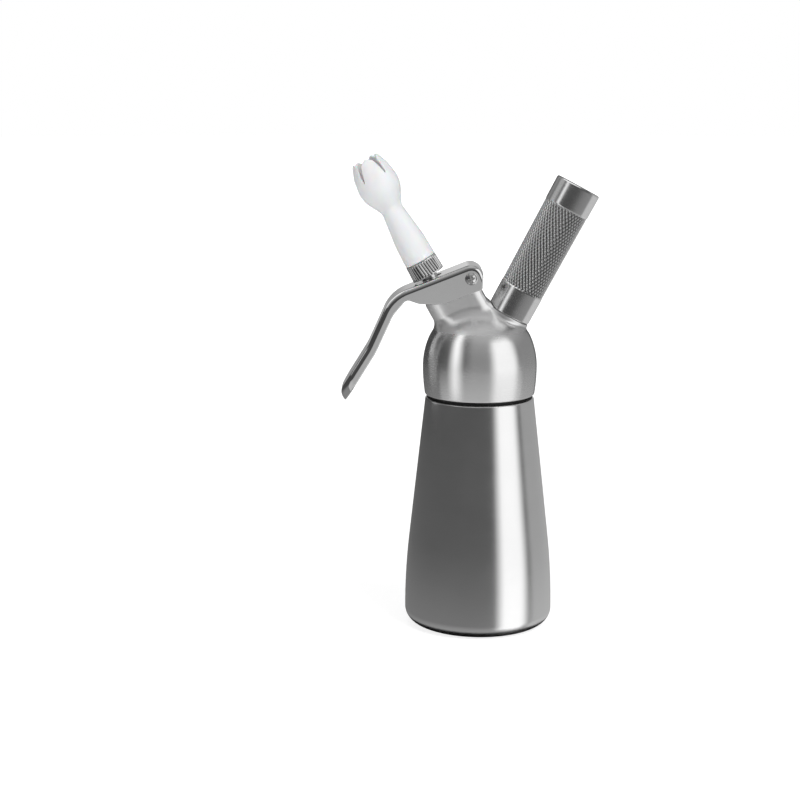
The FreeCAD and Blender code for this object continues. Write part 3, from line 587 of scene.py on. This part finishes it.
def head_field(x, y, z):
    """u, v: across and along the valve axis. a, h: across and along the charger axis."""
    r = np.hypot(x, y)
    u, v = in_tilted(x, z, -VALVE_TILT)
    a, h = in_tilted(x, z, CHARGER_TILT)
    reach = np.hypot(a, y)
    crown = np.sqrt(x * x + y * y + (z - (CROWN_Z - CROWN_ARC)) ** 2) - CROWN_ARC
    body = rolled_edge(dome_side(r, z), crown, 1.0)
    body = rolled_edge(body, SKIRT_Z - z, 0.8)
    body = -rolled_edge(-body, -boss_form(reach, h), 1.2)
    body = -rolled_edge(-body, -neck_form(u, y, v), 5.0)
    spotface = np.maximum(reach - SPOTFACE_R, BOSS_TOP - h)
    body = rolled_edge(body, -spotface, 0.4)
    body = np.minimum(body, stud_form(a, y, h))
    neck_bore = np.maximum(r - GASKET_BORE_R, z - GASKET_BORE_TO)
    cavity = np.minimum(-side_of(CAVITY, r, z), neck_bore)
    body = smooth_max(body, -cavity, 0.3)
    pivot = np.hypot(u - PIVOT[0], v - PIVOT[1]) - PIVOT_BORE_R
    bores = np.minimum(valve_bores(np.hypot(u, y), v), charger_bores(reach, h))
    return rolled_edge(body, -np.minimum(bores, pivot), 0.3)


head_casting = solid("head_casting", head_field, (-29.6, -29.4, 118.0), (30.4, 29.4, 185.5), "head",
                     satin, stands_for=["head"])
head_casting.data.materials.append(cast)
for face in head_casting.data.polygons:
    face.material_index = int(face.center.z / MM > TURNED_TO)


# ------------------------------------------------------------------ lever
HANDLE_BEND = (-40.1, 6.6)
HANDLE_STEEP, HANDLE_FLAT = math.radians(44.3), math.radians(36.7)
HANDLE_UPPER, HANDLE_LOWER = 28.1, 30.5         # bend to kink, kink to tip
HANDLE_DEPTH = 5.0
HANDLE_WALL = 2.0
LEVER_HALF, LEVER_HALF_INSIDE = 12.4, 10.6
LEVER_END_WALL = 1.8
SLOT_AT, SLOT_HALF, SLOT_R = -18.30, 0.65, 4.55
SCREW_HOLE_R, SLEEVE_HOLE_R = 1.92, 2.77


def handle_points(depth):
    """Bend, kink and tip of the line that lies `depth` under the handle's outer surface."""
    steep, flat = HANDLE_STEEP, HANDLE_FLAT
    bend = np.array(HANDLE_BEND)
    kink = bend - HANDLE_UPPER * np.array((math.cos(steep), math.sin(steep)))
    tip = kink - HANDLE_LOWER * np.array((math.cos(flat), math.sin(flat)))
    mean = (steep + flat) / 2
    bend = bend + depth * np.array((math.tan(steep / 2), -1))
    kink = kink + depth * np.array((math.sin(mean), -math.cos(mean)))
    tip = tip + depth * np.array((math.sin(flat), -math.cos(flat)))
    return bend, kink, tip


bend, kink, tip = handle_points(0)
_, low_kink, low_tip = handle_points(HANDLE_DEPTH)
in_bend, in_kink, in_tip = handle_points(HANDLE_WALL)
LEVER_TOP = chain((6.6, -9.0), (6.6, 6.6, 6.6), (*bend, 20.0), (*kink, 40.0), (*tip, 3.5), tuple(low_tip))
LEVER_LOW = chain(tuple(low_tip), (*low_kink, 40.0), (-42.4, -2.77, 14.0), (-33.4, 2.0, 2.5),
                  (-28.5, -2.2, 10.0), (-17.64, -7.0, 20.0), (3.3, -7.0, 1.2), (6.6, 0.0))
LEVER_HOLLOW = chain((13.2, 0.6), (4.6, 0.6), (4.6, 4.6, 4.6), (*in_bend, 18.0), (*in_kink, 40.0),
                     (in_tip[0] + LEVER_END_WALL, in_tip[1] + 1.35), (in_tip[0] + LEVER_END_WALL, -60.0))


def lever_field(p, y, n):
    beyond_end = low_tip[0] - p
    plan = rolled_edge(np.abs(y) - LEVER_HALF, beyond_end, 9.0)
    outer = rolled_edge(-side_of(LEVER_TOP, p, n), plan, 2.5)
    outer = rolled_edge(outer, -side_of(LEVER_LOW, p, n), 0.5)
    inner_plan = rolled_edge(np.abs(y) - LEVER_HALF_INSIDE, beyond_end + LEVER_END_WALL, 7.2)
    hollow = rolled_edge(-side_of(LEVER_HOLLOW, p, n), inner_plan, 0.9)
    slot = np.hypot(np.maximum(np.abs(p - SLOT_AT) - SLOT_HALF, 0), y) - SLOT_R
    slot = np.maximum(slot, -n)
    holes = np.hypot(p, n) - np.where(y < 0, SCREW_HOLE_R, SLEEVE_HOLE_R)
    return rolled_edge(outer, -np.minimum(np.minimum(hollow, slot), holes), 0.35)


solid("lever_channel", lever_field, (-83.6, -13.0, -38.0), (7.4, 13.0, 7.4), "lever", chrome,
      place=LEVER, stands_for=["lever"], step=0.3)


# ------------------------------------------------------------------ nozzle and its collar
NOZZLE_LINE = chain((7.45, 61.5), (7.05, 72.9, 50.0), (4.75, 90.855, 7.0), (10.45, 101.4, 14.0),
                    (8.95, 111.375, 12.0), (6.15, 118.5))
SLIT_LINE = chain((0, 108.5), (0.35, 108.5, 0.3), (1.2, 116.3, 2.2), (3.4, 118.5), (3.4, 122.0))
NOZZLE_WALL = 1.3
PETALS = 5
FIRST_SLIT = math.radians(50)
COLLAR_KNURLS = 34
COLLAR_KNURL_DEPTH = 0.45
COLLAR_FROM, COLLAR_TO = 53.7, 60.9


def nozzle_field(u, y, v):
    r = np.hypot(u, y)
    shell = np.abs(side_of(NOZZLE_LINE, r, v)) - NOZZLE_WALL / 2
    shell = rolled_edge(shell, slab(v, 61.5, 118.5), 0.5)
    spigot = np.maximum(np.abs(r - 5.26) - 1.24, slab(v, 56.5, 63.0))
    body = np.minimum(shell, spigot)
    step = 2 * math.pi / PETALS
    turn = (np.arctan2(y, u) + FIRST_SLIT + step / 2) % step - step / 2
    slit = -side_of(SLIT_LINE, r * np.abs(np.sin(turn)), v)
    return rolled_edge(body, -slit, 0.35)


solid("nozzle_body", nozzle_field, (-12.0, -12.0, 56.0), (12.0, 12.0, 119.2), "valve",
      white_plastic, place=VALVE, stands_for=["nozzle"], step=0.36)


def collar_knurl(radius, height, turn):
    wave = np.abs((turn * COLLAR_KNURLS / (2 * math.pi) + height * 0.08) % 1.0 - 0.5) * 2
    ends = np.clip((height - COLLAR_FROM) / 0.5, 0, 1) * np.clip((COLLAR_TO - height) / 0.5, 0, 1)
    return np.where(radius > 8.1, -COLLAR_KNURL_DEPTH * np.clip(wave * 1.4 - 0.25, 0, 1) * ends, 0.0)


collar_line = [(4.02, 53.1), (8.4, 53.1, 0.4), (8.15, 61.5, 0.4), (6.52, 61.5), (6.52, 55.5), (4.02, 55.5)]
lathe("collar_ring", drawn(chain(*collar_line), step=0.35, turn=20.0), "valve", chromed_brass,
      place=VALVE, stands_for=["nozzle_collar"], steps=COLLAR_KNURLS * 12, relief=collar_knurl, sharp=60)


# ------------------------------------------------------------------ charger holder
KNURLS = 40
KNURL_LENGTH = 3.1
KNURL_DEPTH = 0.42
GRIP_FROM, GRIP_TO = 44.5, 89.9


def holder_knurl(radius, height, turn):
    """Two families of crossing grooves, cut into the grip between the plain ends."""
    along = height / KNURL_LENGTH
    around = turn * KNURLS / (2 * math.pi)
    one = np.abs((around + along) % 1.0 - 0.5) * 2
    other = np.abs((around - along) % 1.0 - 0.5) * 2
    cut = np.clip(np.maximum(one, other * 0.85) * 1.4 - 0.35, 0, 1)
    ends = np.clip((height - GRIP_FROM) / 0.3, 0, 1) * np.clip((GRIP_TO - height) / 0.3, 0, 1)
    return np.where(radius > 10.9, -KNURL_DEPTH * cut * ends, 0.0)


holder_side = [(9.78, 30.4), (11.1, 30.4, 0.3), (11.205, 44.2), (11.085, 44.35), (11.436, 90.05),
               (11.556, 90.2), (11.65, 102.5, 0.85), (0, 102.5)]
holder_inside = [(0, 100.8), (9.25, 100.8, 4.4), (9.25, 45.5), (9.78, 45.5)]
holder_profile = np.concatenate([drawn(chain(*holder_side), step=0.2, turn=10.0),
                                 drawn(chain(*holder_inside), step=4.0, turn=10.0)])
lathe("holder_shell", holder_profile, "holder", knurled, place=CHARGER,
      stands_for=["charger_holder"], steps=KNURLS * 11, relief=holder_knurl, sharp=60)


# ------------------------------------------------------------------ studio
def staged(name, size, place, seen_by):
    """A square sheet that only the named kinds of ray see."""
    mesh = bpy.data.meshes.new(name)
    half = size / 2
    corners = [(-half, -half, 0), (half, -half, 0), (half, half, 0), (-half, half, 0)]
    mesh.from_pydata(corners, [], [(0, 1, 2, 3)])
    thing = bpy.data.objects.new(name, mesh)
    bpy.context.scene.collection.objects.link(thing)
    thing.matrix_world = place
    for kind in ("camera", "diffuse", "glossy", "transmission", "shadow"):
        setattr(thing, "visible_" + kind, kind in seen_by)
    return thing


def floor_finish(name, shade, glow, far_glow):
    """Pale and slightly cloudy, glowing more towards its edge, where the lamps don't reach."""
    owner = bpy.data.materials.new(name)
    nodes = Nodes(owner)
    place = nodes.add("TexCoord").outputs["Object"]
    colour = nodes.ramp(nodes.noise(place, 2.0, 3.0), (0.3, grey(shade * 0.985)), (0.7, grey(shade)))
    distance = nodes.add("VectorMath", {"operation": "LENGTH"}, input0=place).outputs["Value"]
    light = nodes.spread(distance, 0.3, 1.6, glow, far_glow)
    shader = nodes.add("BsdfPrincipled", None, Base_Color=colour, Roughness=0.8, Emission_Color=(1, 1, 1, 1),
                       Emission_Strength=light)
    nodes.tree.links.new(shader.outputs[0], nodes.add("OutputMaterial").inputs[0])
    return owner


floor = staged("floor", 12.0, Matrix.Translation((0, 0, 0)), {"camera"})
floor.data.materials.append(floor_finish("pale_floor", 0.40, 0.80, far_glow=1.3))
table = staged("floor_as_bounce", 12.0, Matrix.Translation((0, 0, -0.0004)), {"diffuse"})
table.data.materials.append(floor_finish("floor_bounce", 0.8, 0.25, far_glow=0.25))


def lit_by(thing, *receivers):
    """The light of this thing reaches only the named pieces."""
    group = bpy.data.collections.new(thing.name + "_receivers")
    for receiver in receivers:
        group.objects.link(receiver)
    thing.light_linking.receiver_collection = group


def glowing(name, colour, strength=1.0, see_through=True):
    """A light-giving material; where its light isn't linked, rays pass through it."""
    owner = bpy.data.materials.new(name)
    nodes = Nodes(owner)
    if callable(colour):
        colour = colour(nodes)
    result = nodes.add("Emission", None, Color=colour, Strength=strength).outputs[0]
    if see_through:
        clear = nodes.add("BsdfTransparent").outputs[0]
        result = nodes.add("AddShader", None, input0=result, input1=clear).outputs[0]
    nodes.tree.links.new(result, nodes.add("OutputMaterial").inputs[0])
    owner.cycles.emission_sampling = "NONE"
    return owner


# The white backdrop: a ball round everything, for the camera alone.
BACKDROP_R = 5.9                # metres
BACKDROP_STEPS = 48
BACKDROP_ROWS = BACKDROP_STEPS // 2
rings = []
for i in range(BACKDROP_ROWS + 1):
    pitch = math.pi * (i / BACKDROP_ROWS - 0.5)
    level = BACKDROP_R * math.cos(pitch)
    for j in range(BACKDROP_STEPS):
        turn = 2 * math.pi * j / BACKDROP_STEPS
        rings.append((level * math.cos(turn), level * math.sin(turn), BACKDROP_R * math.sin(pitch)))
ball_faces = []
for i in range(BACKDROP_ROWS):
    for j in range(BACKDROP_STEPS):
        here, after = i * BACKDROP_STEPS + j, i * BACKDROP_STEPS + (j + 1) % BACKDROP_STEPS
        ball_faces.append((here, after, after + BACKDROP_STEPS, here + BACKDROP_STEPS))
ball_mesh = bpy.data.meshes.new("backdrop")
ball_mesh.from_pydata(rings, [], ball_faces)
backdrop = bpy.data.objects.new("backdrop", ball_mesh)
bpy.context.scene.collection.objects.link(backdrop)
for kind in ("diffuse", "glossy", "transmission", "shadow"):
    setattr(backdrop, "visible_" + kind, False)
white = bpy.data.materials.new("white_backdrop")
white_nodes = Nodes(white)
glow = white_nodes.add("Emission", None, Color=(1, 1, 1, 1), Strength=1.0)
white_nodes.tree.links.new(glow.outputs[0], white_nodes.add("OutputMaterial").inputs[0])
ball_mesh.materials.append(white)

world = bpy.data.worlds.new("studio")
bpy.context.scene.world = world
sky = Nodes(world)
lift = sky.add("SeparateXYZ", None, Vector=sky.add("TexCoord").outputs["Generated"]).outputs["Z"]
# A dark room with a lighter ceiling, over a pale table: brightness from straight down (0) to straight up (1).
shown = sky.ramp(sky.math("MULTIPLY_ADD", lift, 0.5, 0.5), (0.0, grey(0.37)), (0.35, grey(0.21)),
                 (0.44, grey(0.07)), (0.65, grey(0.06)), (0.88, grey(0.22)), (1.0, grey(0.55)))
background = sky.add("Background", None, Color=shown, Strength=1.0)
sky.tree.links.new(background.outputs[0], sky.add("OutputWorld").inputs[0])


def soft_light(name, place, size, watts, aim=(0, 0, 0.12)):
    """A soft panel that lights the plain surfaces without showing in the metal."""
    lamp = bpy.data.lights.new(name, "AREA")
    lamp.size = size
    lamp.energy = watts
    holder = bpy.data.objects.new(name, lamp)
    holder.location = place
    holder.rotation_euler = (Vector(aim) - Vector(place)).to_track_quat("-Z", "Y").to_euler()
    holder.visible_glossy = False
    holder.visible_camera = False
    bpy.context.scene.collection.objects.link(holder)


soft_light("key", (0.9, -0.9, 1.3), 0.9, 19.5)
soft_light("fill", (-1.0, -1.2, 0.7), 1.0, 8.0)
soft_light("back", (-0.5, 1.3, 0.9), 1.0, 7.0)


FOOT_FROM, FOOT_TO = -0.24, -0.15       # metres from a box's middle: where its foot turns into the rest


def soft_box(name, azimuth, away, height, width, tall, strength, receivers, soft=0.3, lean=0.0, lean_from=0.0,
             foot_share=1.0):
    """An upright soft box with soft sides, turned to the axis, seen only in the named pieces. Azimuth is in
    degrees from the front, + towards +X, and the lengths are in mm. Above lean_from it leans sideways by the
    share `lean` of its height, and its foot has a share of its strength."""
    turn = math.radians(azimuth)
    place = Vector((away * math.sin(turn), -away * math.cos(turn), height)) * MM
    across = Vector((-place[1], place[0], 0)).normalized()
    towards = -Vector(place[:2]).normalized()

    def soft_sides(nodes):
        part = nodes.add("SeparateXYZ", None, Vector=nodes.add("TexCoord").outputs["Object"]).outputs
        above = nodes.math("MAXIMUM", nodes.math("SUBTRACT", part["Y"], lean_from * MM), 0.0)
        off = nodes.math("ABSOLUTE", nodes.math("MULTIPLY_ADD", above, lean, part["X"]))
        share = nodes.spread(off, width * MM / 2 * (1 - soft), width * MM / 2, 1.0, 0.0)
        foot = nodes.spread(part["Y"], FOOT_FROM, FOOT_TO, foot_share, 1.0)
        return nodes.ramp(nodes.math("MULTIPLY", share, foot), (0.0, grey(0.0)), (1.0, grey(1.0)))

    facing = Matrix(((across.x, 0, towards.x), (across.y, 0, towards.y), (0, 1, 0))).to_4x4()
    thing = staged(name, 1.0, Matrix.Translation(place) @ facing, {"glossy"})
    half = Vector((width / 2 + lean * tall, tall / 2, 0)) * MM
    for vertex, (x, y) in zip(thing.data.vertices, ((-1, -1), (1, -1), (1, 1), (-1, 1))):
        vertex.co = (x * half.x, y * half.y, 0)
    thing.data.materials.append(glowing(name, soft_sides, strength))
    lit_by(thing, *receivers)


bottle_piece, head_piece, holder_piece, lever_piece = [
    [bpy.data.objects[name]] for name in ("bottle_shell", "head_casting", "holder_shell", "lever_channel")]
small_pieces = [thing for thing in bpy.data.objects if thing.type == "MESH" and thing.data.materials
                and thing not in bottle_piece + head_piece + holder_piece]

# The main box, front right, and the paler wall and back behind it. They go on below the table's level,
# because the polished table shows them again.
soft_box("main_box", 54.5, 1300, 200, 1530, 3000, 0.98, bottle_piece + small_pieces, soft=0.52)
soft_box("main_box_in_head", 52, 1300, 95, 1780, 3000, 0.98, head_piece, soft=0.5, foot_share=0.42)
soft_box("right_wall_in_head", 120, 1300, 200, 2000, 3000, 0.18, head_piece, soft=0.3)
soft_box("right_wall", 125, 1300, 200, 2200, 3000, 0.26, bottle_piece + small_pieces, soft=0.3)
soft_box("back_wall", 175, 1300, 200, 700, 3000, 0.40, bottle_piece + small_pieces, soft=0.5)

# Cards for single pieces.
soft_box("head_strip", -49.6, 185, 330, 112, 560, 1.12, head_piece, soft=0.9, lean=0.26, lean_from=-140,
         foot_share=0.58)
soft_box("head_front", 1.4, 400, 420, 560, 600, 0.17, head_piece, soft=0.5)
soft_box("lever_front", -12, 900, -155, 1800, 490, 0.34, small_pieces)
soft_box("lever_plate", -167.7, 706, 150, 330, 300, 0.24, lever_piece)
soft_box("lever_brim", -127.3, 528, 620, 500, 640, 0.85, lever_piece)
soft_box("lever_tray", -87.8, 520, 620, 380, 500, 0.3, lever_piece, soft=0.6)
soft_box("holder_strip", -50.2, 234, 260, 110, 400, 0.95, holder_piece, soft=0.8)
soft_box("holder_side", -97.6, 303, 330, 300, 400, 0.3, holder_piece, soft=0.5)
soft_box("holder_back", -143.7, 372, 330, 300, 400, 0.16, holder_piece, soft=0.5)
soft_box("holder_right", 125, 700, -100, 1400, 1400, 0.32, holder_piece, soft=0.2)


def flat_light(name, size, place, strength, receivers):
    """A level sheet of light, seen only in the named pieces."""
    thing = staged(name, size, Matrix.Translation(place), {"glossy"})
    thing.data.materials.append(glowing(name, (1, 1, 1, 1), strength))
    lit_by(thing, *receivers)


flat_light("holder_top", 0.9, (0, -0.2, 0.8), 0.6, holder_piece)
flat_light("table_in_head", 2.0, (0.4, -1.0, -0.0006), 0.22, head_piece)

# The dark line where the bottle stands, which only its own polish shows.
CONTACT_R = 0.0386              # metres
CONTACT_SIDES = 64
contact = staged("contact_shadow", 1.0, Matrix.Translation((0, 0, -0.0008)), {"glossy"})
contact.data.clear_geometry()
contact_turns = [2 * math.pi * i / CONTACT_SIDES for i in range(CONTACT_SIDES)]
contact_rim = [(CONTACT_R * math.cos(turn), CONTACT_R * math.sin(turn), 0) for turn in contact_turns]
contact.data.from_pydata(contact_rim, [], [range(CONTACT_SIDES)])
contact.data.materials.append(glowing("contact_shadow", (0, 0, 0, 1), see_through=False))

# ------------------------------------------------------------------ camera
CAMERA_PLACE = (-40.14, -868.27, 283.54)
CAMERA_PITCH = 79.0             # 11 degrees down from level
LENS, SENSOR = 78.75, 36.0

camera = bpy.data.objects.new("camera", bpy.data.cameras.new("camera"))
camera.data.sensor_width = SENSOR
camera.data.lens = LENS
camera.data.clip_end = 50.0
camera.location = Vector(CAMERA_PLACE) * MM
camera.rotation_euler = (math.radians(CAMERA_PITCH), 0, 0)
bpy.context.scene.collection.objects.link(camera)
bpy.context.scene.camera = camera
bpy.context.scene.view_settings.view_transform = "Standard"
